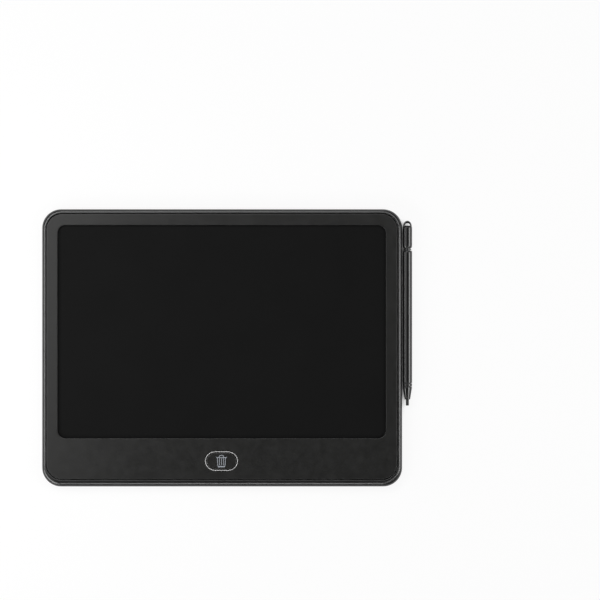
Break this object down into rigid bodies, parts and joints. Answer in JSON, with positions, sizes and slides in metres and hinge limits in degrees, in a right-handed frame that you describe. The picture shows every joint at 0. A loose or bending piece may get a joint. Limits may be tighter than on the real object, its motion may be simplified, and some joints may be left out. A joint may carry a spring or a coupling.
{
  "type": "lcd writing tablet",
  "caption": "Slim landscape LCD writing tablet with an erase button, a lock slider, a battery door and a stylus held along its right side.",
  "frame": {"origin": "middle of the flat back face of the case, which the tablet rests on", "axes": "+X towards the side that carries the stylus, +Y towards the top edge of the screen, +Z out of the screen"},
  "size_m": [0.2034, 0.1524, 0.0066],
  "materials": {
    "case_plastic": "satin black ABS",
    "panel_plastic": "satin black ABS",
    "screen_film": "fine anti-glare film",
    "adhesive_tape": "double-sided foam tape",
    "board_sheet": "black plastic sheet",
    "foam": "closed-cell foam",
    "magnet": "nickel-plated magnet",
    "screw_steel": "zinc-plated steel",
    "nickel_strip": "nickel-plated spring strip",
    "cell_steel": "stainless steel can",
    "circuit_laminate": "green solder mask",
    "flex_film": "amber polyimide",
    "switch_steel": "tinned steel shell",
    "chip_plastic": "moulded epoxy",
    "trim_silver": "satin silver plating",
    "switch_plastic": "white nylon",
    "ferrite": "dark ferrite",
    "ceramic": "tan ceramic",
    "stylus_plastic": "polished black ABS",
    "core_steel": "plain steel rod",
    "nib_plastic": "hard black nylon"
  },
  "bodies": {
    "case": {"back_cover": "case_plastic", "front_bezel": "panel_plastic", "writing_film": "screen_film", "film_adhesive": "adhesive_tape", "support_board": "board_sheet", "foam_pad": "foam", "stylus_magnet_upper": "magnet", "stylus_magnet_lower": "magnet", "battery_contact_positive": "nickel_strip", "battery_contact_negative": "nickel_strip", "coin_cell": "cell_steel", "circuit_board": "circuit_laminate", "circuit_board_screw_1": "screw_steel", "circuit_board_screw_2": "screw_steel", "circuit_board_screw_3": "screw_steel", "flex_cable": "flex_film", "lock_switch_body": "switch_steel", "button_trim_ring": "trim_silver", "tact_switch": "switch_steel", "driver_chip": "chip_plastic", "boost_coil": "ferrite", "capacitor_1": "ceramic", "capacitor_2": "ceramic", "capacitor_3": "ceramic"},
    "erase_key": {"erase_button": "panel_plastic", "tact_plunger": "switch_plastic"},
    "lock": {"lock_slider": "case_plastic", "lock_switch_actuator": "chip_plastic"},
    "door": {"battery_door": "case_plastic"},
    "door_screw": {"battery_door_screw": "screw_steel"},
    "stylus": {"stylus_cap": "stylus_plastic", "stylus_neck_ring": "stylus_plastic", "stylus_barrel": "stylus_plastic", "stylus_core": "core_steel", "stylus_tip_ring": "stylus_plastic", "stylus_tip_cone": "stylus_plastic", "stylus_nib": "nib_plastic"}
  },
  "joints": [
    {"name": "erase_button_press", "type": "slide", "parent": "case", "child": "erase_key", "axis": [0, 0, -1], "range_m": [0, 0.0004], "stiffness_N_per_m": 3000},
    {"name": "lock_slide", "type": "slide", "parent": "case", "child": "lock", "axis": [0, 1, 0], "range_m": [0, 0.002]},
    {"name": "battery_door_tilt", "type": "hinge", "parent": "case", "child": "door", "pos_m": [-0.05315, -0.061, 0], "axis": [0, 1, 0], "range_deg": [0, 60]},
    {"name": "battery_screw_turn", "type": "hinge", "parent": "door", "child": "door_screw", "pos_m": [-0.02555, -0.061, 0], "axis": [0, 0, -1], "continuous": true},
    {"name": "stylus_pull", "type": "slide", "parent": "case", "child": "stylus", "axis": [1, 0, 0], "range_m": [0, 0.03]}
  ]
}
